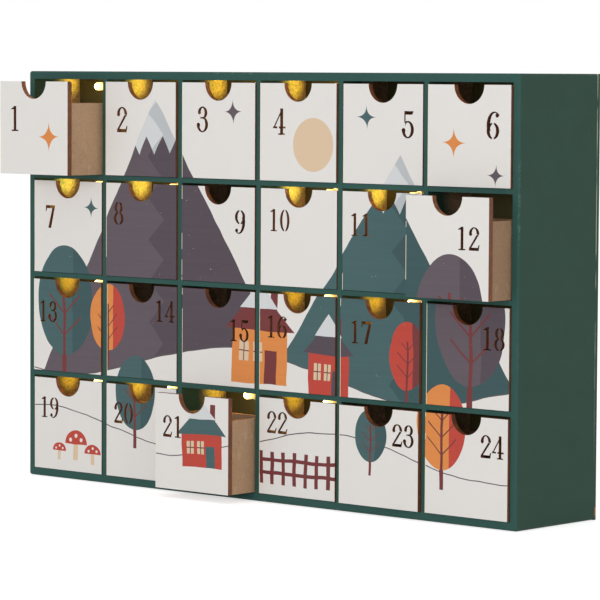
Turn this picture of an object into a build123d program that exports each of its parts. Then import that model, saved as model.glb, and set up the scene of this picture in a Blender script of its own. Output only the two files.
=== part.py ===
"""Wooden advent calendar: a painted case with 24 drawers and warm lights behind them."""
import os

from build123d import *

os.makedirs("parts", exist_ok=True)

# Sizes are in millimetres. The origin is the centre of the case's underside,
# +Z is up and the drawers open towards -Y.

# Case boards
case_width = 400.0
case_height = 260.0
case_depth = 75.0
board = 5.0
edge_round = 1.6
back_board = 2.5
back_round = 0.5

# Cell grid, halved boards
columns = 6
rows = 4
divider = 3.5
shelf = 3.0
slot_play = 0.1

# Drawers
drawer_length = 40.0
stop_gap = 0.5
front_thickness = 3.5
side_gap = 0.6
top_gap = 1.5
bottom_gap = 0.3
notch_radius = 11.0
tray_inset = 0.5
tray_wall = 2.5
tray_floor = 2.5
wall_drop = 13.5

# Numbers cut through the fronts; the figures' own strokes are shares of their height
number_tall = 15.8
number_middle = 14.5
number_small = 13.3
digit_pitch = 0.66
stem = 0.15
hair = 0.055
bridge = 0.075

# Lights
light_panel = 3.0
led_radius = 2.5
led_holder_radius = 3.2
led_hole_play = 0.15
led_drop = 4.6
led_reach = 16.5
led_dome_length = 9.0
led_collar_radius = 4.4
led_collar = 1.4
led_tail_radius = 2.4
led_tail = 4.5
wire_radius = 0.8
wire_gap = 0.2
wire_sag = 6.0
wire_bend = 12.0
wire_loop = 16.0

# Battery box, let into the back panel beside the first bulb of the chain
box_from_bulb = 85.0
box_z = 42.0
battery_radius = 7.1
battery_length = 49.0
battery_nub_radius = 2.7
battery_nub = 1.2
battery_play = 0.4
contact = 0.5
contact_width = 9.0
spring_height = 2.2
spring_radius = 3.0
box_wall = 1.6
flange = 1.6
flange_margin = 5.0
cutout_play = 0.3
cover_thickness = 1.8
cover_margin = 2.4
cover_play = 0.3
cover_lip = 1.2
rail_wall = 1.8
lip_thickness = 1.0
grip_depth = 0.6
grip_width = 1.2
grip_pitch = 2.6
grips = 4
knob_length = 3.6
knob_width = 3.2
knob_height = 1.8
switch_travel = 4.0
switch_play = 0.3
switch_base = 1.2
switch_lap = 1.5

# How far each drawer stands out of the case
pulled_out = {
    1: 30.5, 2: 1.7, 3: 0.8, 4: 1.3, 5: 0.3, 6: 1.4,
    7: 0.5, 8: 1.1, 9: 0.8, 10: 0.3, 11: 0.5, 12: 20.5,
    13: 1.0, 14: 0.3, 15: 0.3, 16: 1.2, 17: 2.0, 18: 1.2,
    19: 0.3, 20: 0.5, 21: 23.5, 22: 0.9, 23: 2.5, 24: 1.7,
}

# Drawers whose number stands right of the notch; their cells have no light
right_numbers = {5, 6, 9, 12, 14, 15, 18, 23, 24}

# Middle of each number: in from the front's nearer side edge, and down from its top edge
number_place = {
    1: (13.5, 23.5), 2: (14.5, 23.5), 3: (17.5, 22.5), 4: (15.5, 23.0), 5: (11.0, 23.5), 6: (13.0, 23.0),
    7: (14.5, 23.0), 8: (11.0, 19.0), 9: (12.0, 21.0), 10: (15.0, 19.0), 11: (14.0, 19.5), 12: (15.0, 23.5),
    13: (13.0, 20.5), 14: (10.5, 15.5), 15: (13.0, 24.0), 16: (14.0, 20.0), 17: (16.0, 19.5), 18: (11.5, 18.0),
    19: (13.5, 19.0), 20: (15.0, 18.0), 21: (14.5, 20.0), 22: (14.5, 14.5), 23: (11.5, 15.0), 24: (11.5, 16.5),
}

# Levels and faces that follow from the sizes
front_y = -case_depth / 2
rear_y = case_depth / 2
boards_rear = rear_y - back_board
inner_width = case_width - 2 * board
inner_height = case_height - 2 * board
cell_width = (inner_width - (columns - 1) * divider) / columns
cell_height = (inner_height - (rows - 1) * shelf) / rows
grid_depth = drawer_length + stop_gap
panel_y = front_y + grid_depth
panel_rear = panel_y + light_panel
half_y = front_y + grid_depth / 2
front_width = cell_width - 2 * side_gap
front_height = cell_height - top_gap - bottom_gap


def cell_corner(number):
    """Left edge and floor level of a numbered cell."""
    column = (number - 1) % columns
    row = (number - 1) // columns
    left = -inner_width / 2 + column * (cell_width + divider)
    floor = board + (rows - 1 - row) * (cell_height + shelf)
    return left, floor


def facing(y):
    """Plane parallel to the front at a depth y, looking out of the case."""
    return Plane(origin=(0, y, 0), x_dir=(1, 0, 0), z_dir=(0, -1, 0))


def block(x0, x1, y0, y1, z0, z1, mode=Mode.ADD):
    """Box between two opposite corners."""
    with Locations(((x0 + x1) / 2, (y0 + y1) / 2, (z0 + z1) / 2)):
        Box(x1 - x0, y1 - y0, z1 - z0, mode=mode)


def plank(x0, x1, y0, y1, z0, z1):
    """One plain board."""
    with BuildPart() as piece:
        block(x0, x1, y0, y1, z0, z1)
    return piece.part


def save(pieces, name):
    """Store a group of separate pieces under one name."""
    group = Compound(label=name, children=pieces)
    export_step(group, f"parts/{name}.step")


# Case: full-height sides, top and bottom between them
def side_board(side):
    """Left (-1) or right (+1) side board with its outer edges rounded."""
    inner = side * inner_width / 2
    outer = side * case_width / 2
    with BuildPart() as piece:
        block(min(inner, outer), max(inner, outer), front_y, boards_rear, 0, case_height)
        outside = piece.faces().sort_by(Axis.X)[-1 if side > 0 else 0]
        worn = outside.edges().sort_by(Axis.Y)[:-1]
        worn += piece.faces().sort_by(Axis.Y)[0].edges().filter_by(Axis.X)
        fillet(worn, edge_round)
    return piece.part


def level_board(top):
    """Top or bottom board with its outer front edge rounded."""
    z0 = case_height - board if top else 0
    with BuildPart() as piece:
        block(-inner_width / 2, inner_width / 2, front_y, boards_rear, z0, z0 + board)
        front_edges = piece.faces().sort_by(Axis.Y)[0].edges().filter_by(Axis.X)
        fillet(front_edges.sort_by(Axis.Z)[-1 if top else 0], edge_round)
    return piece.part


save([side_board(-1), side_board(1), level_board(True), level_board(False)], "case_boards")


# Grid: dividers are slotted from the rear, shelves from the front
def divider_board(index):
    """Upright divider, numbered from the left."""
    x0 = -inner_width / 2 + (index + 1) * cell_width + index * divider
    with BuildPart() as piece:
        block(x0, x0 + divider, front_y, panel_y, board, case_height - board)
        for level in range(1, rows):
            z0 = board + level * cell_height + (level - 1) * shelf
            block(x0 - 1, x0 + divider + 1, half_y - slot_play, panel_y + 1,
                  z0 - slot_play, z0 + shelf + slot_play, mode=Mode.SUBTRACT)
    return piece.part


def shelf_board(level):
    """Shelf, numbered from the bottom."""
    z0 = board + level * cell_height + (level - 1) * shelf
    with BuildPart() as piece:
        block(-inner_width / 2, inner_width / 2, front_y, panel_y, z0, z0 + shelf)
        for index in range(columns - 1):
            x0 = -inner_width / 2 + (index + 1) * cell_width + index * divider
            block(x0 - slot_play, x0 + divider + slot_play, front_y - 1, half_y,
                  z0 - 1, z0 + shelf + 1, mode=Mode.SUBTRACT)
    return piece.part


save([divider_board(index) for index in range(columns - 1)], "dividers")
save([shelf_board(level) for level in range(1, rows)], "shelves")


# Lights: bulbs in holders pushed through the light panel from behind, chained row by row from the bottom up
lit = [number for number in range(1, columns * rows + 1) if number not in right_numbers]
row_order = [[22, 21, 20, 19], [13, 16, 17], [11, 10, 8, 7], [1, 2, 3, 4]]


def led_place(number):
    """Where a cell's bulb sits on the light panel."""
    left, floor = cell_corner(number)
    return left + cell_width / 2, floor + cell_height - led_drop


with BuildPart() as light_board:
    block(-inner_width / 2, inner_width / 2, panel_y, panel_rear, board, case_height - board)
    with BuildSketch(facing(panel_rear)):
        with Locations(*[led_place(number) for number in lit]):
            Circle(led_holder_radius + led_hole_play)
    extrude(amount=light_panel, mode=Mode.SUBTRACT)
light_board.part.label = "light_panel"
export_step(light_board.part, "parts/light_panel.step")


def rod(x, z, radius, y0, y1):
    """Round piece along Y."""
    with Locations((x, (y0 + y1) / 2, z)):
        Cylinder(radius, y1 - y0, rotation=(90, 0, 0))


def led_bulb(number):
    """Bulb with its holder, collar and tail."""
    x, z = led_place(number)
    dome_centre = panel_y - led_reach + led_radius
    shoulder = panel_y - led_reach + led_dome_length
    with BuildPart() as piece:
        with Locations((x, dome_centre, z)):
            Sphere(led_radius)
        rod(x, z, led_radius, dome_centre, shoulder)
        rod(x, z, led_holder_radius, shoulder, panel_rear + led_collar)
        rod(x, z, led_collar_radius, panel_rear, panel_rear + led_collar)
        rod(x, z, led_tail_radius, panel_rear + led_collar, panel_rear + led_collar + led_tail)
    return piece.part


save([led_bulb(number) for number in lit], "led_bulbs")

# Battery box: outline of the inner body and of the flange on the panel's rear face
cavity_length = battery_length + battery_nub + 2 * contact + spring_height + battery_play
cavity_width = 4 * battery_radius + 3 * battery_play
cavity_depth = 2 * battery_radius + 2 * battery_play
knob_slot = knob_length + switch_travel + 2 * switch_play
pocket_length = knob_slot + 2 * switch_lap + cover_margin + cover_play + rail_wall
pocket_width = knob_width + 2 * switch_lap + 2 * switch_play
pocket_depth = switch_base + 2 * switch_play
first_x, first_z = led_place(row_order[0][0])
box_x = first_x + box_from_bulb
cavity_x0 = box_x - cavity_length / 2
cavity_x1 = box_x + cavity_length / 2
pocket_x1 = cavity_x0 - box_wall
pocket_x0 = pocket_x1 - pocket_length
body_x0 = pocket_x0 - box_wall
body_x1 = cavity_x1 + box_wall
body_z0 = box_z - cavity_width / 2 - box_wall
body_z1 = box_z + cavity_width / 2 + box_wall
flange_y = rear_y + flange
cavity_y = flange_y - cavity_depth
body_y = cavity_y - box_wall

# Back panel
with BuildPart() as back:
    block(-case_width / 2, case_width / 2, boards_rear, rear_y, 0, case_height)
    fillet(back.faces().sort_by(Axis.Y)[-1].edges(), back_round)
    block(body_x0 - cutout_play, body_x1 + cutout_play, boards_rear - 1, rear_y + 1,
          body_z0 - cutout_play, body_z1 + cutout_play, mode=Mode.SUBTRACT)
back.part.label = "back_panel"
export_step(back.part, "parts/back_panel.step")

# Cover track
cover_length = cavity_length + 2 * cover_margin
cover_width = cavity_width + 2 * cover_margin
cover_x0 = box_x - cover_length / 2
cover_x1 = box_x + cover_length / 2
stop_x = cover_x0 - cover_play
track_width = cover_width + 2 * cover_play
track_y = flange_y + cover_thickness + 2 * cover_play
rail_y = track_y + lip_thickness
rail_z = track_width / 2 + rail_wall
mouth_width = cover_width - 2 * cover_lip
flange_x0 = body_x0 - flange_margin
flange_x1 = max(body_x1 + flange_margin, cover_x1)
flange_half = max((body_z1 - body_z0) / 2 + flange_margin, rail_z)
knob_x = (pocket_x0 + min(pocket_x1, stop_x - rail_wall)) / 2
slot_half = knob_slot / 2

with BuildPart() as box:
    block(flange_x0, flange_x1, rear_y, flange_y, box_z - flange_half, box_z + flange_half)
    block(body_x0, body_x1, body_y, rear_y, body_z0, body_z1)
    block(stop_x - rail_wall, flange_x1, flange_y, rail_y, box_z - rail_z, box_z + rail_z)
    block(stop_x, flange_x1 + 1, flange_y, track_y,
          box_z - track_width / 2, box_z + track_width / 2, mode=Mode.SUBTRACT)
    block(stop_x, flange_x1 + 1, flange_y, rail_y + 1,
          box_z - mouth_width / 2, box_z + mouth_width / 2, mode=Mode.SUBTRACT)
    block(cavity_x0, cavity_x1, cavity_y, flange_y + 1,
          box_z - cavity_width / 2, box_z + cavity_width / 2, mode=Mode.SUBTRACT)
    block(pocket_x0, pocket_x1, rear_y - pocket_depth, rear_y,
          box_z - pocket_width / 2, box_z + pocket_width / 2, mode=Mode.SUBTRACT)
    block(knob_x - slot_half, knob_x + slot_half, rear_y - 1, flange_y + 1,
          box_z - knob_width / 2 - switch_play, box_z + knob_width / 2 + switch_play, mode=Mode.SUBTRACT)
box.part.label = "battery_box"
export_step(box.part, "parts/battery_box.step")

# Sliding cover with a thumb grip near its leading end
with BuildPart() as cover:
    cover_y = flange_y + cover_play
    block(cover_x0, cover_x1, cover_y, cover_y + cover_thickness,
          box_z - cover_width / 2, box_z + cover_width / 2)
    for index in range(grips):
        x = cover_x0 + grip_pitch * (index + 2)
        block(x - grip_width / 2, x + grip_width / 2,
              cover_y + cover_thickness - grip_depth, cover_y + cover_thickness + 1,
              box_z - cover_width / 5, box_z + cover_width / 5, mode=Mode.SUBTRACT)
cover.part.label = "battery_cover"
export_step(cover.part, "parts/battery_cover.step")

# Switch slider, stored switched on: at the end of its slot nearer the cover
with BuildPart() as switch:
    on_x = knob_x + switch_travel / 2
    base_y = rear_y - switch_play
    block(on_x - knob_length / 2 - switch_lap, on_x + knob_length / 2 + switch_lap,
          base_y - switch_base, base_y, box_z - knob_width / 2 - switch_lap, box_z + knob_width / 2 + switch_lap)
    block(on_x - knob_length / 2, on_x + knob_length / 2, base_y - switch_base, flange_y + knob_height,
          box_z - knob_width / 2, box_z + knob_width / 2)
switch.part.label = "battery_switch"
export_step(switch.part, "parts/battery_switch.step")


# Batteries lie head to tail, each between a flat contact and a sprung one
def battery(upper):
    """One round cell; the upper one points the other way."""
    way = 1 if upper else -1
    z = box_z + way * (battery_radius + battery_play / 2)
    y = cavity_y + battery_play + battery_radius
    nub_end = box_x + way * (cavity_length / 2 - contact - battery_play / 2)
    cap = nub_end - way * battery_nub
    with BuildPart() as piece:
        with Locations((cap - way * battery_length / 2, y, z)):
            Cylinder(battery_radius, battery_length, rotation=(0, 90, 0))
        with Locations((cap + way * battery_nub / 2, y, z)):
            Cylinder(battery_nub_radius, battery_nub, rotation=(0, 90, 0))
    return piece.part


def battery_contact(upper, sprung):
    """Contact plate at one end of a cell, with a boss where it is sprung."""
    way = 1 if upper else -1
    end = -way if sprung else way
    z = box_z + way * (battery_radius + battery_play / 2)
    y = cavity_y + battery_play + battery_radius
    wall = box_x + end * cavity_length / 2
    with BuildPart() as piece:
        with Locations((wall - end * contact / 2, y, z)):
            Box(contact, contact_width, contact_width)
        if sprung:
            with Locations((wall - end * (contact + spring_height / 2), y, z)):
                Cylinder(spring_radius, spring_height, rotation=(0, 90, 0))
    return piece.part


save([battery(True), battery(False)], "batteries")
save([battery_contact(upper, sprung) for upper in (True, False) for sprung in (True, False)],
     "battery_contacts")

# Lead: from the battery box to each bulb in turn
wire_y = panel_rear + led_collar + led_tail + wire_gap + wire_radius
outlet_y = (body_y + boards_rear) / 2
route = [(body_x0, outlet_y, first_z - wire_loop / 2)]
route += [(body_x0 - wire_loop * 0.7, outlet_y, first_z - wire_loop / 2)]
route += [(first_x + wire_loop, wire_y, first_z - wire_sag / 2)]
for turn, order in enumerate(row_order):
    way = -1 if turn % 2 == 0 else 1
    for place, number in enumerate(order):
        x, z = led_place(number)
        route += [(x, wire_y, z)]
        if place + 1 < len(order):
            steps = abs(order[place + 1] - number)
            pitch = way * (cell_width + divider)
            for step in range(steps):
                route += [(x + pitch * (step + 0.5), wire_y, z - wire_sag)]
                if step + 1 < steps:
                    route += [(x + pitch * (step + 1), wire_y, z - wire_sag / 3)]
    if turn + 1 < len(row_order):
        x, z = led_place(order[-1])
        rise = cell_height + shelf
        route += [(x + way * wire_loop, wire_y, z + wire_loop)]
        route += [(x + way * wire_loop, wire_y, z + rise - wire_loop)]

with BuildPart() as wire:
    with BuildLine() as wire_path:
        FilletPolyline(*route, radius=wire_bend)
    with BuildSketch(Plane(origin=route[0], z_dir=(-1, 0, 0))):
        Circle(wire_radius)
    sweep(path=wire_path.line)
wire.part.label = "led_wire"
export_step(wire.part, "parts/led_wire.step")


# Digits: stencil figures one unit high, with bridges that hold the islands in
def ring(x, y, wide, high):
    """Bowl of a digit: thick at the sides, thin at the top and bottom."""
    with Locations((x, y)):
        Ellipse(wide, high)
        Ellipse(wide - stem, high - hair, mode=Mode.SUBTRACT)


def bar(x, y, wide, high, mode=Mode.ADD):
    """Upright rectangle."""
    with Locations((x, y)):
        Rectangle(wide, high, mode=mode)


def dot(x, y, radius):
    """Round end of a stroke."""
    with Locations((x, y)):
        Circle(radius)


def shape(*points):
    """Straight-sided stroke."""
    Polygon(*points, align=None)


with BuildSketch() as zero:
    ring(0, 0, 0.29, 0.5)
    bar(0, 0, bridge, 1.2, Mode.SUBTRACT)

with BuildSketch() as one:
    bar(0, 0, stem, 1)
    bar(0, -0.5 + hair / 2, 0.38, hair)
    shape((-0.02, 0.5), (-0.21, 0.40), (-0.21, 0.36), (-0.02, 0.38))

with BuildSketch() as two:
    ring(0, 0.21, 0.28, 0.29)
    bar(0, -0.1, 1, 0.6, Mode.SUBTRACT)
    shape((0.28, 0.21), (-0.17, -0.40), (-0.28, -0.40), (0.125, 0.17))
    shape((-0.28, -0.5), (0.25, -0.5), (0.30, -0.25), (0.25, -0.25), (0.20, -0.37), (-0.28, -0.37))
    dot(-0.195, 0.21, 0.085)

with BuildSketch() as three:
    ring(-0.01, 0.26, 0.25, 0.24)
    bar(-0.26, 0.11, 0.5, 0.3, Mode.SUBTRACT)
    dot(-0.18, 0.27, 0.08)
    with BuildSketch(mode=Mode.PRIVATE) as lower_bowl:
        ring(-0.02, -0.2, 0.30, 0.30)
        bar(-0.28, -0.02, 0.52, 0.36, Mode.SUBTRACT)
    add(lower_bowl.sketch)
    dot(-0.235, -0.22, 0.09)
    bar(-0.03, 0.06, 0.2, hair)

with BuildSketch() as four:
    shape((0.13, 0.5), (-0.32, -0.255), (-0.25, -0.255), (0.13, 0.38))
    bar(0, -0.22, 0.64, 0.07)
    bar(-0.06, -0.22, bridge, 0.2, Mode.SUBTRACT)
    bar(0.12, 0, stem, 1)
    bar(0.12, -0.5 + hair / 2, 0.34, hair)

with BuildSketch() as five:
    ring(-0.02, -0.18, 0.29, 0.32)
    bar(-0.32, 0.0, 0.34, 0.36, Mode.SUBTRACT)
    shape((-0.19, 0.5), (0.25, 0.5), (0.20, 0.37), (-0.19, 0.37))
    bar(-0.16, 0.29, 0.06, 0.42)
    shape((-0.19, 0.08), (-0.13, 0.04), (-0.02, 0.14), (-0.02, 0.085), (-0.10, 0.06))
    dot(-0.225, -0.21, 0.09)

with BuildSketch() as six:
    with Locations((0.06, 0)):
        Ellipse(0.35, 0.5)
    with Locations((0.09, 0)):
        Ellipse(0.22, 0.45, mode=Mode.SUBTRACT)
    bar(0.36, -0.1, 0.6, 0.92, Mode.SUBTRACT)
    bar(0, -0.45, 1, 0.5, Mode.SUBTRACT)
    dot(0.19, 0.36, 0.08)
    with BuildSketch(mode=Mode.PRIVATE) as loop:
        ring(0, -0.2, 0.29, 0.30)
        bar(0, -0.2, bridge, 0.8, Mode.SUBTRACT)
    add(loop.sketch)

with BuildSketch() as seven:
    shape((-0.28, 0.5), (0.29, 0.5), (0.29, 0.43), (0.2, 0.37), (-0.21, 0.37), (-0.24, 0.24), (-0.29, 0.24))
    shape((0.29, 0.45), (0.13, 0.40), (-0.13, -0.5), (0.05, -0.5))

with BuildSketch() as eight:
    ring(0, 0.25, 0.25, 0.25)
    with BuildSketch(mode=Mode.PRIVATE) as lower_ring:
        ring(0, -0.22, 0.29, 0.28)
    add(lower_ring.sketch)
    bar(0, 0, bridge, 1.2, Mode.SUBTRACT)

figures = [zero, one, two, three, four, five, six, seven, eight]
figures = [figure.sketch for figure in figures]
figures += [figures[6].rotate(Axis.Z, 180)]


def number_height(number):
    """The first row has the tallest figures, the two-figure numbers the smallest."""
    if number <= columns:
        return number_tall
    return number_middle if number < 10 else number_small


def draw_number(number, x, z):
    """Figures of a number, evenly spaced around a centre point."""
    height = number_height(number)
    digits = [int(letter) for letter in str(number)]
    pitch = digit_pitch * height
    start = x - pitch * (len(digits) - 1) / 2
    for place, digit in enumerate(digits):
        with Locations((start + place * pitch, z)):
            add(scale(figures[digit], by=height, mode=Mode.PRIVATE))


# Drawers: a printed front and a low tray of four boards behind it
for number in range(1, columns * rows + 1):
    left, floor = cell_corner(number)
    face_y = front_y - pulled_out[number]
    joint_y = face_y + front_thickness
    end_y = face_y + drawer_length
    x0 = left + side_gap
    x1 = x0 + front_width
    z0 = floor + bottom_gap
    z1 = z0 + front_height
    name = f"drawer_{number:02d}"
    inward, down = number_place[number]
    number_x = x1 - inward if number in right_numbers else x0 + inward

    with BuildPart() as front:
        with BuildSketch(facing(joint_y)):
            with Locations(((x0 + x1) / 2, (z0 + z1) / 2)):
                Rectangle(front_width, front_height)
            with Locations(((x0 + x1) / 2, z1)):
                Circle(notch_radius, mode=Mode.SUBTRACT)
        extrude(amount=front_thickness)
        with BuildSketch(facing(joint_y)):
            draw_number(number, number_x, z1 - down)
        extrude(amount=front_thickness, mode=Mode.SUBTRACT)
    front.part.label = f"{name}_front"
    export_step(front.part, f"parts/{name}_front.step")

    t0 = x0 + tray_inset
    t1 = x1 - tray_inset
    wall_top = z1 - wall_drop
    tray_boards = [
        plank(t0, t0 + tray_wall, joint_y, end_y, z0, wall_top),
        plank(t1 - tray_wall, t1, joint_y, end_y, z0, wall_top),
        plank(t0 + tray_wall, t1 - tray_wall, end_y - tray_wall, end_y, z0, wall_top),
        plank(t0 + tray_wall, t1 - tray_wall, joint_y, end_y - tray_wall, z0, z0 + tray_floor),
    ]
    save(tray_boards, f"{name}_tray")
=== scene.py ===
# %% [markdown]
# # A wooden advent calendar
# A shallow painted case holds 24 small drawers in six columns and four rows. Every drawer has a thin
# printed front with a half-round finger notch and a number cut right through it, and warm lights shine
# in most of the cells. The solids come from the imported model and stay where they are. This lesson gives
# them their finishes, adds the small pieces that are only seen close up, and lights the scene.

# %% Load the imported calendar
import math

import bmesh
import bpy
from mathutils import Matrix, Vector


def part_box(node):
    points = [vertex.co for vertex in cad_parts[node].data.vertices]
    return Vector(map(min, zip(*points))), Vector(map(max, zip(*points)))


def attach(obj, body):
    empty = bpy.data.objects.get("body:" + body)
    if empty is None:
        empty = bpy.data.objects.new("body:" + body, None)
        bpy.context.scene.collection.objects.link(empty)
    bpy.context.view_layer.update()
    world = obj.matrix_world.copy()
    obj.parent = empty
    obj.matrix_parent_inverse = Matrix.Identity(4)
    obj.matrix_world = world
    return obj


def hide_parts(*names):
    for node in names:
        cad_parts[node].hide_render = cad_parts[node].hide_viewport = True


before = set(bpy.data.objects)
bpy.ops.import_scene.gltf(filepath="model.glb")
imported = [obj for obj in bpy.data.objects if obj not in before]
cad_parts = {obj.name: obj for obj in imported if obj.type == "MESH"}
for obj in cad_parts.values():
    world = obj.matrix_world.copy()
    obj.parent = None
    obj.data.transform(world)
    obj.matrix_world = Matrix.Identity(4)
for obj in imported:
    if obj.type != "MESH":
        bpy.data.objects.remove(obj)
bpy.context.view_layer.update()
scene = bpy.context.scene
scene.view_settings.view_transform = "Standard"

# %% [markdown]
# ## The camera
# The picture was taken from the right, a little above the table, with a long lens: the case's edges hardly
# run together. Aiming a camera with a Track To constraint would lose the slight roll, so its three axes
# are worked out from the turn, the tilt and the roll and written straight into its matrix.

# %% Camera
camera_place = Vector((1.38534, -1.54870, 0.25972))
turn, tilt, roll = math.radians(41.802), math.radians(3.827), math.radians(0.296)
ahead = Vector((-math.sin(turn) * math.cos(tilt), math.cos(turn) * math.cos(tilt), -math.sin(tilt)))
level_right = Vector((math.cos(turn), math.sin(turn), 0))
level_up = level_right.cross(ahead)
right = level_right * math.cos(roll) + level_up * math.sin(roll)
up = level_up * math.cos(roll) - level_right * math.sin(roll)

lens = bpy.data.cameras.new("camera")
lens.sensor_width = 36
lens.lens = 203.775
lens.clip_end = 50
camera = bpy.data.objects.new("camera", lens)
scene.collection.objects.link(camera)
axes = Matrix((right, up, -ahead)).transposed().to_4x4()
camera.matrix_world = Matrix.Translation(camera_place) @ axes
scene.camera = camera
print("camera at", tuple(round(v, 3) for v in camera_place), "lens", lens.lens)

# %% [markdown]
# ## Finishes as plain arithmetic
# A painted board or a printed front is a colour that depends on where a point lies. In the editor that is
# a web of Math and Mix nodes. The same web is easier to read as a formula, so a `Level` stands for one
# value that varies over the surface, and adding or comparing two of them adds the node that does it.


# %% Colours
def srgb(red, green, blue):
    """A colour as picked on a screen, 0 to 255, in the linear values that a shader wants."""
    shares = [c / 255 for c in (red, green, blue)]
    return [s / 12.92 if s <= 0.04045 else ((s + 0.055) / 1.055) ** 2.4 for s in shares] + [1]


print("middle grey in linear values", [round(c, 3) for c in srgb(128, 128, 128)])


# %% Values that vary over a surface
class Level:
    """A value that varies over a surface."""

    def __init__(self, finish, socket):
        self.finish, self.socket = finish, socket

    def do(self, kind, *others):
        return self.finish.math(kind, self, *others)

    def __add__(self, other):
        return self.do("ADD", other)

    def __sub__(self, other):
        return self.do("SUBTRACT", other)

    def __rsub__(self, other):
        return self.finish.math("SUBTRACT", other, self)

    def __mul__(self, other):
        return self.do("MULTIPLY", other)

    def __truediv__(self, other):
        return self.do("DIVIDE", other)

    def __lt__(self, other):
        return self.do("LESS_THAN", other)

    def __gt__(self, other):
        return self.do("GREATER_THAN", other)

    def __and__(self, other):
        return self.do("MULTIPLY", other)

    def __or__(self, other):
        return self.do("MAXIMUM", other)

    def __abs__(self):
        return self.do("ABSOLUTE")

    def ramp(self, start, end):
        """0 at start, 1 at end and straight between them."""
        node = self.finish.node("ShaderNodeMapRange")
        self.finish.join(self, node.inputs["Value"])
        node.inputs["From Min"].default_value = start
        node.inputs["From Max"].default_value = end
        return Level(self.finish, node.outputs["Result"])


# %% A material that is put together step by step
# The Mix node has a set of sockets for each kind of data. These are the places of the colour ones.
MIX_FIRST, MIX_SECOND, MIX_RESULT = 6, 7, 2


class Finish:
    """A material that is being put together."""

    def __init__(self, name):
        self.material = bpy.data.materials.new(name)
        self.material.use_nodes = True
        self.tree = self.material.node_tree
        self.shader = self.tree.nodes["Principled BSDF"]
        self.coordinates = self.node("ShaderNodeTexCoord")
        self.place = self.coordinates.outputs["Object"]
        x, y, z = self.split(self.place)
        self.x, self.y, self.z = x * 1000, y * 1000, z * 1000

    def node(self, kind):
        return self.tree.nodes.new(kind)

    def join(self, value, socket):
        """Wires a level or a socket into an input, or writes a plain number there."""
        if isinstance(value, Level):
            self.tree.links.new(value.socket, socket)
        elif isinstance(value, bpy.types.NodeSocket):
            self.tree.links.new(value, socket)
        else:
            socket.default_value = value

    def math(self, kind, *values):
        node = self.node("ShaderNodeMath")
        node.operation = kind
        for value, socket in zip(values, node.inputs):
            self.join(value, socket)
        return Level(self, node.outputs[0])

    def split(self, vector):
        node = self.node("ShaderNodeSeparateXYZ")
        self.join(vector, node.inputs[0])
        return [Level(self, output) for output in node.outputs]

    def facing(self):
        """The way the surface faces, as three levels."""
        return self.split(self.coordinates.outputs["Normal"])

    def stretched(self, across, deep, high):
        """Places scaled so that a pattern comes out longer one way."""
        node = self.node("ShaderNodeMapping")
        self.join(self.place, node.inputs["Vector"])
        node.inputs["Scale"].default_value = (across, deep, high)
        return node.outputs["Vector"]

    def noise(self, scale, detail=2.0, rough=0.5, place=None):
        node = self.node("ShaderNodeTexNoise")
        self.join(place or self.place, node.inputs["Vector"])
        node.inputs["Scale"].default_value = scale
        node.inputs["Detail"].default_value = detail
        node.inputs["Roughness"].default_value = rough
        return Level(self, node.outputs["Fac"])

    def speckle(self, scale):
        """Random grains, each with one even value."""
        node = self.node("ShaderNodeTexVoronoi")
        self.join(self.place, node.inputs["Vector"])
        node.inputs["Scale"].default_value = scale
        grey = self.node("ShaderNodeRGBToBW")
        self.join(node.outputs["Color"], grey.inputs[0])
        return Level(self, grey.outputs[0])

    def mix(self, share, first, second):
        """The first colour where share is 0, the second where it is 1."""
        node = self.node("ShaderNodeMix")
        node.data_type = "RGBA"
        self.join(share, node.inputs["Factor"])
        self.join(first, node.inputs[MIX_FIRST])
        self.join(second, node.inputs[MIX_SECOND])
        return node.outputs[MIX_RESULT]

    def shade(self, colour, level, amount):
        """A colour made lighter and darker by a level that is around a half."""
        node = self.node("ShaderNodeHueSaturation")
        self.join(colour, node.inputs["Color"])
        self.join(level * (2 * amount) + (1 - amount), node.inputs["Value"])
        return node.outputs["Color"]

    def bump(self, height, depth):
        """Surface relief: height is a level, depth is in metres."""
        node = self.node("ShaderNodeBump")
        node.inputs["Distance"].default_value = depth
        self.join(height, node.inputs["Height"])
        self.join(node.outputs["Normal"], self.shader.inputs["Normal"])

    def coat(self, colour, roughness):
        self.join(colour, self.shader.inputs["Base Color"])
        self.join(roughness, self.shader.inputs["Roughness"])
        return self.material


# %% Put a finish on solids
def give(material, *nodes):
    """Puts a finish on CAD nodes."""
    for name in nodes:
        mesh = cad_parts[name].data
        mesh.materials.clear()
        mesh.materials.append(material)
    print(material.name, "on", len(nodes), "nodes with", len(material.node_tree.nodes), "shader nodes")


# %% [markdown]
# ## Bare board
# The trays and the back panel are bare brown fibreboard: pressed wood dust with a few lighter fibres. Even
# colour would look like plastic, so fine grains and short streaks change its lightness. The cut upper
# edges of the tray boards are more orange than the pressed faces, and the trays of the last column are
# darker.

# %% Bare board
board_brown = srgb(184, 149, 116)
fibre_pale = srgb(214, 186, 152)
fibre_dark = srgb(132, 100, 74)
sawn_edge = srgb(214, 142, 78)


def board_colour(finish):
    """Brown fibreboard as a colour socket, with the levels that made it."""
    grains = finish.speckle(1400)
    clouds = finish.noise(70, 3)
    fibres = finish.noise(260, 2, 0.6, finish.stretched(1, 1, 0.35))
    chips = finish.noise(420, 2)
    colour = finish.mix(fibres.ramp(0.62, 0.75) * 0.45, board_brown, fibre_pale)
    colour = finish.mix(chips.ramp(0.66, 0.74) * 0.4, colour, fibre_dark)
    colour = finish.shade(colour, grains, 0.10)
    return finish.shade(colour, clouds, 0.10), grains


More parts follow.
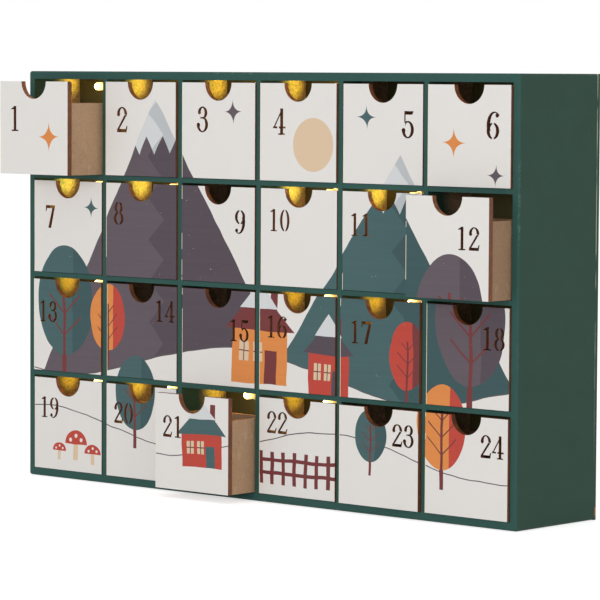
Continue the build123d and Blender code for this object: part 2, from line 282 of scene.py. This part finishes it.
# %% Trays
LAST_COLUMN, DARK_SHARE, GRAIN_DEPTH = 131.0, 0.55, 0.00015
board = Finish("bare_board")
brown, grains = board_colour(board)
darker_last_column = board.x.ramp(LAST_COLUMN - 4, LAST_COLUMN) * DARK_SHARE
brown = board.mix(darker_last_column, brown, board.shade(fibre_dark, grains, 0.10))
upward = board.facing()[2] > 0.9
sawn = board.shade(sawn_edge, board.noise(500, 2, 0.6), 0.14)
board.bump(grains, GRAIN_DEPTH)
board.coat(board.mix(upward, brown, sawn), 0.85)
drawer_names = [f"drawer_{number:02d}" for number in range(1, 25)]
give(board.material, *[name + "_tray" for name in drawer_names])

# %% [markdown]
# ## Green paint
# The case is sprayed dark green. The spray covers the outside and the front edges and drifts into the
# cells: deep on the upright walls, less deep on the undersides of the shelves. Behind it the board is bare
# but for a mist of fine drops. The light panel behind the drawers is olive all over. Faces that look
# forward get a lighter, cooler green than the sides. This is painted light, for the stronger light from the
# front.
# The paint is matt, so it has little specular reflection, and its outer edges have small pale scuffs. A pale
# line runs along the seam to the back panel, and the panel's right edge has a chip low down.

# %% Colours and places for the paint
# Painted light: the green on forward faces is lighter and cooler than on the sides, for the light from the
# front.
lit_front_green = srgb(46, 81, 75)
shaded_side_green = srgb(48, 75, 64)
panel_paint = srgb(84, 77, 46)
scuff_grey = srgb(118, 140, 132)
seam_pale = srgb(184, 182, 150)
chip_orange = srgb(172, 112, 52)
CASE_HALF, CASE_MIDDLE, FRONT = 200.0, 130.0, -37.5
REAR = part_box("case_boards")[1][1] * 1000
print("case from", FRONT, "to", round(REAR, 2), "mm deep")


# %% Wear and a pale seam line on the paint
SCUFF_SIDE, SCUFF_FRONT, RIM_SKIN = 1.6, 1.4, 0.8
CHIP_HEIGHT, CHIP_REACH, CHIP_RAGGED = 5.0, 4.4, 4


def worn_edges(finish):
    """Scratched patches along the edges where two outer faces of the case meet."""
    side = abs(finish.x).ramp(CASE_HALF - SCUFF_SIDE, CASE_HALF)
    front = finish.y.ramp(FRONT + SCUFF_FRONT, FRONT)
    lid = abs(finish.z - CASE_MIDDLE).ramp(CASE_MIDDLE - SCUFF_SIDE, CASE_MIDDLE)
    edge = (side & front) | (front & lid) | (side & lid)
    scratches = finish.noise(240, 4, 0.7).ramp(0.50, 0.60)
    return edge & scratches & finish.noise(18, 2).ramp(0.5, 0.62)


def pale_seam_line(finish):
    """The last half millimetre before the back panel, in patches and more of it higher up."""
    seam = finish.y.ramp(REAR - 0.8, REAR - 0.3) & (finish.y < REAR + 0.1)
    return seam & (finish.noise(34, 3, 0.6).ramp(0.42, 0.56) & finish.z.ramp(20, 170))


def chipped(finish, ragged):
    """A ragged spot low down on the right edge of the back panel."""
    at_edge = (finish.x > CASE_HALF - RIM_SKIN) & (finish.y > REAR + 0.9)
    return at_edge & (abs(finish.z - CHIP_HEIGHT) + ragged * CHIP_RAGGED < CHIP_REACH)


# %% Painted boards
DRIFT, FADE_START, FADE_END = 8, -9, 6
PAINT_DEPTH, PAINT_SHINE = 0.0004, 0.15


def painted(name, outside, walls, ceilings, colours=(shaded_side_green, lit_front_green), drops=0.7):
    """Paint over bare board, on the outside and some millimetres deep from the front."""
    finish = Finish(name)
    brown, grains = board_colour(finish)
    face_x, face_y = finish.facing()[:2]
    upright = abs(face_x)
    cloud = finish.noise(45, 3)
    drift = finish.noise(160, 3, 0.6)
    rolled = finish.noise(90, 3, 0.6, finish.stretched(0.25, 0.25, 1))
    reach = upright * (walls - ceilings) + ceilings
    depth = finish.y - FRONT + cloud * DRIFT + drift * DRIFT - DRIFT
    cover = outside(finish) | (reach - depth).ramp(FADE_START, FADE_END)
    # Painted light: forward faces take the lighter, cooler green and side faces the darker one.
    paint = finish.mix(abs(face_y), *colours)
    paint = finish.shade(paint, cloud, 0.08)
    paint = finish.shade(paint, rolled, 0.06)
    paint = finish.mix(worn_edges(finish) * 0.6, paint, scuff_grey)
    paint = finish.mix(pale_seam_line(finish), paint, seam_pale)
    paint = finish.mix(chipped(finish, drift), paint, chip_orange)
    mist = finish.noise(620, 3, 0.7).ramp(0.44, 0.72)
    brown = finish.mix(mist * drops, brown, finish.shade(paint, mist, 0.2))
    rough = grains * 0.5 + finish.noise(520, 3, 0.6) * 1.5
    finish.bump(rolled * 0.6 + finish.noise(1100, 2) * 0.4 + rough * (1 - cover), PAINT_DEPTH)
    finish.shader.inputs["Specular IOR Level"].default_value = PAINT_SHINE
    finish.coat(finish.mix(cover, brown, paint), 0.6)
    return finish.material


# %% Which boards are painted, and how deep
BOARD_SKIN = 4.7


def near_outside(finish, skin):
    """Within some millimetres of the case's sides, top or bottom."""
    return (abs(finish.x) > CASE_HALF - skin) | (abs(finish.z - CASE_MIDDLE) > CASE_MIDDLE - skin)


def case_outside(finish):
    """The outer boards, but for their inner faces."""
    return near_outside(finish, BOARD_SKIN)


def panel_edge(finish):
    """Only the outer rim of the back panel."""
    return near_outside(finish, RIM_SKIN)


def no_outside(finish):
    """Nowhere: every point lies within the case's width."""
    return abs(finish.x) > CASE_HALF


give(painted("case_paint", case_outside, 22, 8), "case_boards")
give(painted("grid_paint", no_outside, 20, 8), "dividers", "shelves")
give(painted("light_panel_paint", no_outside, 90, 90, (panel_paint, panel_paint)), "light_panel")
give(painted("back_panel_paint", panel_edge, -50, -50, drops=0.08), "back_panel")

# %% [markdown]
# ## Printed fronts
# One winter picture runs over all the fronts. The print is only on the face; the cut edges, the notch and
# the numbers are burnt brown by the cutting, and the back is bare. The picture could be modelled as thin
# films, but they would cover the numbers, so it is drawn in the finish itself from each point's place in
# millimetres. A shape is a level that is 1 inside it and 0 outside.

# %% The picture's colours
paper_white = srgb(225, 222, 218)
snow_light = srgb(209, 211, 212)
snow_shade = srgb(184, 188, 191)
plum = srgb(91, 80, 88)
deep_plum = srgb(78, 67, 76)
teal = srgb(63, 92, 94)
deep_teal = srgb(51, 79, 82)
orange = srgb(217, 135, 69)
red = srgb(184, 66, 53)
dark_red = srgb(110, 47, 48)
beige = srgb(217, 191, 160)
ink = srgb(86, 82, 84)
cream = srgb(236, 224, 196)
burnt_brown = srgb(110, 69, 50)
burnt_orange = srgb(168, 96, 46)
print("paper white in linear values", [round(c, 2) for c in paper_white[:3]])

# %% Paper to draw on
# Places are pushed about by a few millimetres, so that lines come out as if drawn by hand.
SWAY_ACROSS, SWAY_UP = 5, 4
prints = Finish("printed_front")
X = prints.x + (prints.noise(28, 2) - 0.5) * SWAY_ACROSS
Z = prints.z + (prints.noise(31, 2) - 0.5) * SWAY_UP
picture = prints.shade(paper_white, prints.noise(900, 2), 0.015)
print("paper with", len(prints.tree.nodes), "shader nodes")


# %% Plain shapes
def draw(mask, colour):
    """Lays one more colour over the picture."""
    global picture
    picture = prints.mix(mask, picture, colour)


def slab(middle, foot, wide, high):
    """Upright rectangle."""
    return (abs(X - middle) < wide / 2) & (Z > foot) & (Z < foot + high)


def gable(middle, foot, wide, high):
    """Triangular roof."""
    return (abs(X - middle) < (foot + high - Z) * (wide / 2 / high)) & (Z > foot)


def disc(middle, centre, wide, high):
    """Ellipse with its two half widths."""
    across = (X - middle) / wide
    upward = (Z - centre) / high
    return across * across + upward * upward < 1


# %% Things to draw
SNOW_DEPTH, TOOTH_HALF, TOOTH_SLOPE, RIDGE_HALF, RIDGE_SWING = 34, 6.5, 1.7, 13, 6
LINE_HALF, BAR_HALF = 0.32, 0.35


def mountain(top_x, top_z, left, right, colour, shade):
    """Two slopes with a winding ridge, its far side darker, and snow on the top."""
    rising = (X - top_x) * left + top_z - Z
    falling = (X - top_x) * -right + top_z - Z
    under = prints.math("MINIMUM", rising, falling) > 0
    bends = prints.math("PINGPONG", Z, RIDGE_HALF) - RIDGE_SWING
    far_side = X > bends + top_x
    teeth = prints.math("PINGPONG", X - top_x, TOOTH_HALF) * TOOTH_SLOPE
    snow_line = teeth + (top_z - SNOW_DEPTH)
    draw(under, colour)
    draw(under & far_side, shade)
    draw(under & (Z > snow_line), snow_light)
    draw(under & (Z > snow_line) & far_side, snow_shade)


def ground(level, swing, start, length):
    """A snowfield under a gently winding line."""
    line = prints.math("SINE", (X - start) / length) * swing + level
    draw(Z < line, paper_white)
    draw(abs(Z - line) < LINE_HALF, ink)


def star(middle, centre, size, colour):
    """Four points with hollow sides."""
    across = prints.math("SQRT", abs(X - middle) / size)
    upward = prints.math("SQRT", abs(Z - centre) / size)
    draw(across + upward < 1, colour)


def tree(middle, foot, height, half, colour, shade):
    """Round crown on a thin trunk, with a darker side and slanting twigs."""
    centre = foot + height * 0.62
    crown = disc(middle, centre, half, height * 0.42)
    draw(slab(middle, foot, half * 0.16, height * 0.7), dark_red)
    draw(crown, colour)
    draw(crown & (X > middle + half * 0.3), shade)
    draw(slab(middle, foot, half * 0.10, height * 0.8), dark_red)
    rise = Z - abs(X - middle) * 0.9
    twigs = prints.math("FRACT", (rise - foot) / (height * 0.17)) < 0.10
    inner = disc(middle, foot + height * 0.58, half * 0.62, height * 0.24)
    draw(twigs & inner, dark_red)


def house(middle, foot, wide, high, roof, wall, tiles):
    """Wall, tiled roof with a layer of snow, a door and two windows."""
    eaves = foot + high
    draw(slab(middle + wide * 0.28, eaves, wide * 0.13, roof * 0.9), dark_red)
    draw(slab(middle, foot, wide, high), wall)
    draw(gable(middle, eaves - 1.5, wide * 1.26, roof), tiles)
    draw(gable(middle, eaves + roof * 0.42, wide * 0.72, roof * 0.57), snow_light)
    draw(slab(middle + wide * 0.2, foot, wide * 0.22, high * 0.6), tiles)
    for window in (-0.29, -0.04):
        pane = slab(middle + wide * window, foot + high * 0.38, wide * 0.17, high * 0.36)
        bar = abs(X - middle - wide * window) < BAR_HALF
        rail = abs(Z - foot - high * 0.56) < BAR_HALF
        draw(pane, beige)
        draw(pane & (bar | rail), dark_red)


def toadstool(middle, foot, size):
    """Pale stem and a spotted red cap."""
    draw(slab(middle, foot, size * 0.42, size), beige)
    cap = disc(middle, foot + size, size, size * 0.85) & (Z > foot + size)
    draw(cap, red)
    for across, up in [(-0.5, 0.25), (0.0, 0.52), (0.48, 0.28)]:
        draw(disc(middle + size * across, foot + size * (1 + up), size * 0.13, size * 0.12), paper_white)


# %% Sky and mountains
MOON_X, MOON_Z, MOON_RADIUS = 45, 217, 16
STARS = [(-150, 219, 10, orange), (-20, 236, 8, plum), (86, 234, 8, teal), (153, 220, 10, orange),
         (184, 202, 7, plum), (-143, 174, 7, teal)]
moon_across, moon_upward = prints.x - MOON_X, prints.z - MOON_Z
draw(moon_across * moon_across + moon_upward * moon_upward < MOON_RADIUS ** 2, beige)
for middle, centre, size, colour in STARS:
    star(middle, centre, size, colour)
mountain(112, 212, 1.35, 1.55, teal, deep_teal)
mountain(-86, 243, 1.75, 1.45, plum, deep_plum)
print("sky with a moon,", len(STARS), "stars and two mountains")

# %% The village from back to front
ground(80, 12, -95, 47)
tree(-166, 62, 84, 25, teal, deep_teal)
tree(-128, 74, 50, 15, orange, red)
house(2, 72, 46, 34, 28, orange, dark_red)
house(58, 66, 32, 28, 23, red, deep_plum)
tree(166, 62, 92, 26, plum, deep_plum)
tree(120, 66, 48, 14, red, dark_red)
ground(36, 10, 0, 39)
tree(-104, 24, 56, 17, teal, deep_teal)
house(-24, 20, 32, 22, 19, red, teal)
tree(146, 20, 58, 18, orange, red)
tree(92, 24, 37, 12, teal, deep_teal)
for middle, foot, size in [(-156, 13, 10), (-141, 11, 7), (-171, 12, 6)]:
    toadstool(middle, foot, size)
POST_STEP, POST_SHARE, RAIL_HALF = 9, 0.16, 1.1
posts = abs(prints.math("FRACT", X / POST_STEP) - 0.5) < POST_SHARE
rails = (abs(Z - 19) < RAIL_HALF) | (abs(Z - 27) < RAIL_HALF)
fence = (abs(X - 34) < 32) & (Z > 12) & (Z < 32)
draw(fence & (posts | rails), dark_red)
print("picture drawn with", len(prints.tree.nodes), "shader nodes")

# %% Age the print
# Rollers leave fine level streaks in the darker inks, and dust leaves white specks.
grey = prints.node("ShaderNodeRGBToBW")
prints.join(picture, grey.inputs[0])
inked = Level(prints, grey.outputs[0]).ramp(0.55, 0.25)
streaks = prints.noise(420, 2, 0.6, prints.stretched(0.04, 1, 1))
picture = prints.mix(inked, picture, prints.shade(picture, streaks, 0.10))
dust = prints.noise(900, 1)
thick = prints.noise(60, 1)
picture = prints.mix((dust > 0.80) & (thick > 0.55), picture, paper_white)
picture = prints.shade(picture, prints.noise(16, 2), 0.025)
print("aged picture with", len(prints.tree.nodes), "shader nodes")

# %% Print only the face, burn the cut edges
# Places within one front: across from the cell's left wall and up from its floor. The print stops just
# short of the left edge and leaves a thin broken cream line. The notch is burnt orange, the rest darker.
CELL_WIDTH, PITCH_X, PITCH_Z = 62.0833, 65.5833, 63.25
CELLS_LEFT, CELLS_FLOOR = -195.0, 5.0
FRONT_MIDDLE, FRONT_TOP, NOTCH_REACH, RIM_WIDTH = 31.04, 58.75, 12.5, 0.95
PRINT_DEPTH, PRINT_SHINE = 0.0001, 0.3
across = prints.math("FRACT", (prints.x - CELLS_LEFT) / PITCH_X) * PITCH_X
upward = prints.math("FRACT", (prints.z - CELLS_FLOOR) / PITCH_Z) * PITCH_Z
rim = (across < RIM_WIDTH) & (prints.noise(40, 2) > 0.42)
picture = prints.mix(rim, picture, cream)
face_y = prints.facing()[1]
is_face = face_y < -0.9
is_back = face_y > 0.9
bare, bare_grains = board_colour(prints)
scorch = prints.noise(160, 3, 0.6)
notch = (abs(across - FRONT_MIDDLE) < NOTCH_REACH) & (upward > FRONT_TOP - NOTCH_REACH)
burnt = prints.mix(scorch.ramp(0.40, 0.66) * (notch * 0.6 + 0.3), burnt_brown, burnt_orange)
edges = prints.mix(is_back, burnt, bare)
prints.bump(bare_grains * 0.15 + prints.noise(700, 2) * 0.2, PRINT_DEPTH)
prints.shader.inputs["Specular IOR Level"].default_value = PRINT_SHINE
prints.coat(prints.mix(is_face, edges, picture), 0.6)
give(prints.material, *[name + "_front" for name in drawer_names])

# %% [markdown]
# ## Lights and battery box
# The bulbs are clear resin domes in pale holders and glow warm. The box behind is moulded black plastic.

# %% Bulbs
LIT = [1, 2, 3, 4, 7, 8, 10, 11, 13, 16, 17, 19, 20, 21, 22]
holder_pale = srgb(205, 200, 188)
resin_pale = srgb(255, 236, 190)
bulb_root = (1.0, 0.56, 0.10, 1)
bulb_tip = (1.0, 0.74, 0.24, 1)
HOLDER_END, DOME_END = -5.0, -10.5
CORE_GLOW, EDGE_GLOW = 2.2, 0.45
bulb = Finish("warm_bulb")
dome = bulb.y.ramp(HOLDER_END + 0.2, HOLDER_END - 0.2)
core = bulb.y.ramp(HOLDER_END, DOME_END)
bulb.coat(bulb.mix(dome, holder_pale, resin_pale), 0.35)
bulb.join(bulb.mix(core, bulb_root, bulb_tip), bulb.shader.inputs["Emission Color"])
bulb.join(dome * (core * core * CORE_GLOW + EDGE_GLOW), bulb.shader.inputs["Emission Strength"])
give(bulb.material, "led_bulbs")
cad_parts["led_bulbs"].visible_shadow = False


# %% Lead and battery box
PLASTIC_DEPTH = 0.00006


def moulded(name, colour):
    """Plastic with a fine spark-eroded grain."""
    finish = Finish(name)
    finish.bump(finish.noise(2600, 2), PLASTIC_DEPTH)
    return finish.coat(finish.shade(colour, finish.noise(60, 2), 0.08), 0.5)


give(moulded("black_plastic", srgb(38, 38, 39)), "battery_box", "battery_cover")
give(moulded("switch_plastic", srgb(120, 120, 120)), "battery_switch")
give(moulded("lead_plastic", srgb(44, 62, 48)), "led_wire")
sleeve = moulded("battery_sleeve", srgb(70, 96, 122))
give(sleeve, "batteries")
card = moulded("cell_washer", srgb(214, 210, 200))
steel = Finish("contact_metal")
steel.shader.inputs["Metallic"].default_value = 1.0
steel.coat(steel.shade(srgb(190, 190, 188), steel.noise(300, 2), 0.1), 0.35)
give(steel.material, "battery_contacts")

# %% [markdown]
# ## Inside the battery box
# Two cells and their contacts show when the cover is slid off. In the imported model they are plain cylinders
# and bosses, which is all that collision needs. Here each cell is turned from half its outline, with a
# steel foot, rolled rims, a washer and a nub, and each spring is a round wire along a narrowing helix.
# A Screw modifier would turn the outline too, but it makes one cell per object.

# %% Helpers for turned and boxed pieces
MM, TURN_STEPS, SHARP = 0.001, 40, math.radians(35)


def new_piece(name, plan, *materials):
    """Turns a bmesh into an object that rides on the case."""
    bmesh.ops.recalc_face_normals(plan, faces=plan.faces)
    mesh = bpy.data.meshes.new(name)
    plan.to_mesh(mesh)
    plan.free()
    for material in materials:
        mesh.materials.append(material)
    mesh.shade_smooth()
    mesh.set_sharp_from_angle(angle=SHARP)
    piece = bpy.data.objects.new(name, mesh)
    scene.collection.objects.link(piece)
    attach(piece, "case")
    print(name, len(mesh.polygons), "faces")
    return piece


def turn_outline(plan, outline, start, along, out):
    """Spins half an outline, given as steps along and out in millimetres, round its own axis."""
    corners = [plan.verts.new(start + (along * step + out * radius) * MM) for step, radius in outline]
    runs = [plan.edges.new(pair) for pair in zip(corners, corners[1:])]
    before = set(plan.faces)
    bmesh.ops.spin(plan, geom=corners + runs, cent=start, axis=along, angle=math.tau, steps=TURN_STEPS,
                   use_merge=True)
    bmesh.ops.remove_doubles(plan, verts=plan.verts, dist=0.01 * MM)
    return [face for face in plan.faces if face not in before]


def boxed(plan, low, high, rounding):
    """Box between two corners with rounded edges."""
    made = bmesh.ops.create_cube(plan, size=1)["verts"]
    bmesh.ops.scale(plan, verts=made, vec=high - low)
    bmesh.ops.translate(plan, verts=made, vec=(low + high) / 2)
    edges = {edge for vert in made for edge in vert.link_edges}
    bmesh.ops.bevel(plan, geom=list(edges), offset=rounding * MM, offset_type="OFFSET", affect="EDGES",
                    segments=2, profile=0.5, material=-1)


# %% Battery cells
cell_low, cell_high = [Vector(corner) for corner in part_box("batteries")]
CELL_LENGTH, NUB_RADIUS, WASHER_RADIUS = 50.2, 2.7, 5.2
cell_radius = (cell_high.y - cell_low.y) / 2
cell_y = (cell_low.y + cell_high.y) / 2
upper_z = cell_high.z - cell_radius
lower_z = cell_low.z + cell_radius
R = cell_radius / MM
cell_outline = [(0.3, 0), (0.3, 4.9), (0.0, 5.3), (0.0, R - 0.9), (0.15, R - 0.4), (0.5, R - 0.1), (1.0, R),
                (47.6, R), (48.2, R - 0.1), (48.7, R - 0.5), (48.9, R - 1.1), (48.8, WASHER_RADIUS),
                (48.5, WASHER_RADIUS - 0.2), (48.5, NUB_RADIUS), (49.8, NUB_RADIUS),
                (50.1, NUB_RADIUS - 0.25), (CELL_LENGTH, NUB_RADIUS - 0.7), (CELL_LENGTH, 0)]
right_foot = cell_high.x - CELL_LENGTH * MM
left_foot = cell_low.x + CELL_LENGTH * MM
plan = bmesh.new()
for way, foot_x, z in [(1, right_foot, upper_z), (-1, left_foot, lower_z)]:
    foot = Vector((foot_x, cell_y, z))
    for face in turn_outline(plan, cell_outline, foot, Vector((way, 0, 0)), Vector((0, 0, 1))):
        middle = face.calc_center_median() - foot
        step, radius = abs(middle.x) / MM, math.hypot(middle.y, middle.z) / MM
        is_steel = radius < NUB_RADIUS + 0.1 or step < 0.35 and radius < WASHER_RADIUS
        is_washer = step > 48 and radius < WASHER_RADIUS
        face.material_index = 1 if is_steel else 2 if is_washer else 0
cells = new_piece("battery_cells", plan, sleeve, steel.material, card)
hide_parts("batteries")

# %% Contact plates
PLATE, PLATE_HALF, PLATE_ROUNDING = 0.5, 4.5, 0.12
contact_low, contact_high = [Vector(corner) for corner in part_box("battery_contacts")]
plan = bmesh.new()
for z in (lower_z, upper_z):
    for wall, way in [(contact_low.x, 1), (contact_high.x, -1)]:
        inner = wall + way * PLATE * MM
        plate_low = Vector((min(wall, inner), cell_y - PLATE_HALF * MM, z - PLATE_HALF * MM))
        plate_high = Vector((max(wall, inner), cell_y + PLATE_HALF * MM, z + PLATE_HALF * MM))
        boxed(plan, plate_low, plate_high, PLATE_ROUNDING)
plates = new_piece("contact_plates", plan, steel.material)
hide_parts("battery_contacts")

# %% Springs
SPRING_WIRE, COILS, COIL_STEPS = 0.35, 3, 16
COIL_WIDE, COIL_NARROW, COIL_LENGTH = 3.9, 1.9, 1.6
wire = bpy.data.curves.new("contact_springs", "CURVE")
wire.dimensions = "3D"
wire.bevel_depth = SPRING_WIRE * MM
wire.bevel_resolution = 3
wire.use_fill_caps = True
for way, wall, z in [(1, contact_low.x, upper_z), (-1, contact_high.x, lower_z)]:
    start = Vector((wall + way * (PLATE + SPRING_WIRE) * MM, cell_y, z))
    spline = wire.splines.new("NURBS")
    spline.points.add(COILS * COIL_STEPS)
    for index, point in enumerate(spline.points):
        share = index / (COILS * COIL_STEPS)
        angle = math.tau * COILS * share
        radius = COIL_WIDE + (COIL_NARROW - COIL_WIDE) * share
        turn_to = Vector((way * COIL_LENGTH * share, radius * math.cos(angle), radius * math.sin(angle)))
        point.co = (*(start + turn_to * MM), 1)
    spline.order_u = 3
    spline.use_endpoint_u = True
wire.materials.append(steel.material)
springs = bpy.data.objects.new("contact_springs", wire)
scene.collection.objects.link(springs)
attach(springs, "case")
print("contact_springs", len(wire.splines), "coils of", COILS, "turns")

# %% Signs beside the switch
# A raised bar marks the end of the slot that means on, a raised ring the end that means off.
KNOB_HEIGHT, SWITCH_TRAVEL, SIGN_ABOVE = 1.8, 4.0, 5.0
RISE, RING_OUT, RING_IN, STROKE_HALF, SIGN_ROUNDING = 0.3, 1.5, 1.0, 0.25, 0.08
switch_low, switch_high = [Vector(corner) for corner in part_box("battery_switch")]
flange_y = switch_high.y - KNOB_HEIGHT * MM
sign_x = (switch_low.x + switch_high.x) / 2
sign_z = (switch_low.z + switch_high.z) / 2 + SIGN_ABOVE * MM
on_sign = Vector((sign_x, flange_y, sign_z))
off_sign = on_sign - Vector((SWITCH_TRAVEL * MM, 0, 0))
shoulder = RISE - SIGN_ROUNDING
ring_outline = [(0, RING_OUT), (shoulder, RING_OUT), (RISE, RING_OUT - SIGN_ROUNDING),
                (RISE, RING_IN + SIGN_ROUNDING), (shoulder, RING_IN), (0, RING_IN), (0, RING_OUT)]
plan = bmesh.new()
turn_outline(plan, ring_outline, off_sign, Vector((0, 1, 0)), Vector((0, 0, 1)))
bar_low = on_sign - Vector((STROKE_HALF, 0, RING_OUT)) * MM
bar_high = on_sign + Vector((STROKE_HALF, RISE, RING_OUT)) * MM
boxed(plan, bar_low, bar_high, SIGN_ROUNDING)
signs = new_piece("switch_signs", plan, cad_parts["battery_box"].data.materials[0])

# %% [markdown]
# ## Warm light in the cells
# A glowing surface of a few square millimetres lights its cell only after very many samples, and a bulb of
# this kind throws most of its light in a ring round its tip. So each bulb has four small lamps: two spots
# that warm the walls beside the tip and fade out before the panel, a faint bare lamp at the root that
# lights the panel round the bulb, and one ahead of the tip for the rest of the cell. The resin lets light
# out, so the bulbs cast no shadow. The lower rows shine weaker, and a weak bulb looks more orange. Bulbs
# pushed in by hand never sit quite alike, so a sine of the drawer's number varies their strength and place.

# %% Lamps in the lit cells
COLUMNS, ROWS, CELL_HEIGHT = 6, 4, 60.25
BULB_DROP, BULB_TIP, BULB_ROOT, AHEAD = 4.6, -8.5, 0.0, -15.0
LAMP_RADIUS, SPOT_ANGLE, SPOT_RISE = 0.002, math.radians(40), 0.06
ROW_POWER = (0.080, 0.099, 0.062, 0.064)
RING_POWER, GLOW_SHARE = 0.0024, 0.10
VARY_STEP, VARY_POWER, VARY_TIP = 2.4, 0.008, 2
ring_yellow = (1.0, 0.78, 0.12)
glow_yellow = (1.0, 0.86, 0.40)


def wall_yellow(power):
    """Orange for a weak lamp, yellow for a strong one."""
    return (1.0, 0.55 + 4.8 * power, 15 * power * power)


def cell_lamp(name, kind, energy, colour, place, aim):
    """A small lamp that points along aim."""
    lamp = bpy.data.lights.new(name, kind)
    lamp.energy = energy
    lamp.color = colour
    lamp.shadow_soft_size = LAMP_RADIUS
    if kind == "SPOT":
        lamp.spot_size = SPOT_ANGLE
        lamp.spot_blend = 1.0
    holder = bpy.data.objects.new(name, lamp)
    holder.location = place
    holder.rotation_euler = Vector(aim).to_track_quat("-Z", "Y").to_euler()
    scene.collection.objects.link(holder)


for number in LIT:
    row, column = divmod(number - 1, COLUMNS)
    vary = math.sin(number * VARY_STEP)
    power = ROW_POWER[row] - VARY_POWER * vary
    middle = CELLS_LEFT + CELL_WIDTH / 2 + column * PITCH_X
    level = CELLS_FLOOR + CELL_HEIGHT + (ROWS - 1 - row) * PITCH_Z - BULB_DROP
    depths = (BULB_TIP + VARY_TIP * vary, BULB_ROOT, AHEAD)
    tip, root, before = [Vector((middle, y, level)) * MM for y in depths]
    cell_lamp(f"cell_ring_{number:02d}", "POINT", RING_POWER, ring_yellow, root, (0, -1, 0))
    cell_lamp(f"cell_glow_{number:02d}", "POINT", GLOW_SHARE * power, glow_yellow, before, (0, -1, 0))
    for side, way in (("left", -1), ("right", 1)):
        cell_lamp(f"cell_{side}_{number:02d}", "SPOT", power, wall_yellow(power), tip,
                  (way, 0, SPOT_RISE))
print("lit cells", len(LIT), "with four lamps each")

# %% [markdown]
# ## Floor, backdrop and studio light
# The calendar stands on a plain white table in soft light from all around, a little stronger from the
# front. What the camera sees of the table is white, and the table still takes the shadow.

# %% Floor
FLOOR_HALF, FLOOR_DROP, TABLE_GREY, TABLE_GLOW = 12, 0.0002, 0.85, 0.6
floor_mesh = bpy.data.meshes.new("floor")
plan = bmesh.new()
bmesh.ops.create_grid(plan, x_segments=1, y_segments=1, size=FLOOR_HALF)
bmesh.ops.translate(plan, verts=plan.verts, vec=(0, 0, -FLOOR_DROP))
plan.to_mesh(floor_mesh)
plan.free()
floor = bpy.data.objects.new("floor", floor_mesh)
scene.collection.objects.link(floor)
white_table = bpy.data.materials.new("white_table")
white_table.use_nodes = True
table_tree = white_table.node_tree
cloth = table_tree.nodes["Principled BSDF"]
cloth.inputs["Base Color"].default_value = (TABLE_GREY, TABLE_GREY, TABLE_GREY, 1)
cloth.inputs["Roughness"].default_value = 1.0
cloth.inputs["Specular IOR Level"].default_value = 0.0
cloth.inputs["Emission Color"].default_value = (1, 1, 1, 1)
rays = table_tree.nodes.new("ShaderNodeLightPath")
seen = table_tree.nodes.new("ShaderNodeMath")
seen.operation = "MAXIMUM"
table_tree.links.new(rays.outputs["Is Camera Ray"], seen.inputs[0])
table_tree.links.new(rays.outputs["Is Glossy Ray"], seen.inputs[1])
glow = table_tree.nodes.new("ShaderNodeMath")
glow.operation = "MULTIPLY"
glow.inputs[1].default_value = TABLE_GLOW
table_tree.links.new(seen.outputs[0], glow.inputs[0])
table_tree.links.new(glow.outputs[0], cloth.inputs["Emission Strength"])
floor_mesh.materials.append(white_table)
print("floor", 2 * FLOOR_HALF, "m wide")

# %% World
SKY_LIGHT = 0.58
world = bpy.data.worlds.new("studio")
scene.world = world
world.use_nodes = True
sky_tree = world.node_tree
soft = sky_tree.nodes["Background"]
soft.inputs["Color"].default_value = (1, 1, 1, 1)
soft.inputs["Strength"].default_value = SKY_LIGHT
white = sky_tree.nodes.new("ShaderNodeBackground")
white.inputs["Color"].default_value = (1, 1, 1, 1)
rays = sky_tree.nodes.new("ShaderNodeLightPath")
seen = sky_tree.nodes.new("ShaderNodeMath")
seen.operation = "MAXIMUM"
also = sky_tree.nodes.new("ShaderNodeMath")
also.operation = "MAXIMUM"
sky_tree.links.new(rays.outputs["Is Camera Ray"], seen.inputs[0])
sky_tree.links.new(rays.outputs["Is Glossy Ray"], seen.inputs[1])
sky_tree.links.new(seen.outputs[0], also.inputs[0])
sky_tree.links.new(rays.outputs["Is Transmission Ray"], also.inputs[1])
either = sky_tree.nodes.new("ShaderNodeMixShader")
sky_tree.links.new(also.outputs[0], either.inputs[0])
sky_tree.links.new(soft.outputs[0], either.inputs[1])
sky_tree.links.new(white.outputs[0], either.inputs[2])
sky_tree.links.new(either.outputs[0], sky_tree.nodes["World Output"].inputs["Surface"])
print("light from all around", SKY_LIGHT, "of white")


# %% Studio lamps
AIM = Vector((0, 0, 0.13))


def soft_box(name, place, wide, high, power):
    """A large oblong lamp that points at the calendar's middle."""
    lamp = bpy.data.lights.new(name, "AREA")
    lamp.shape = "RECTANGLE"
    lamp.size = wide
    lamp.size_y = high
    lamp.energy = power
    stand = bpy.data.objects.new(name, lamp)
    stand.location = place
    aim = AIM - Vector(place)
    stand.rotation_euler = aim.to_track_quat("-Z", "Y").to_euler()
    scene.collection.objects.link(stand)
    print(name, wide, "by", high, "m,", power, "W")


soft_box("key_lamp", (0.5, -2.4, 0.5), 2.6, 0.9, 26)
soft_box("fill_lamp", (2.3, -0.5, 0.5), 1.4, 1.0, 5)
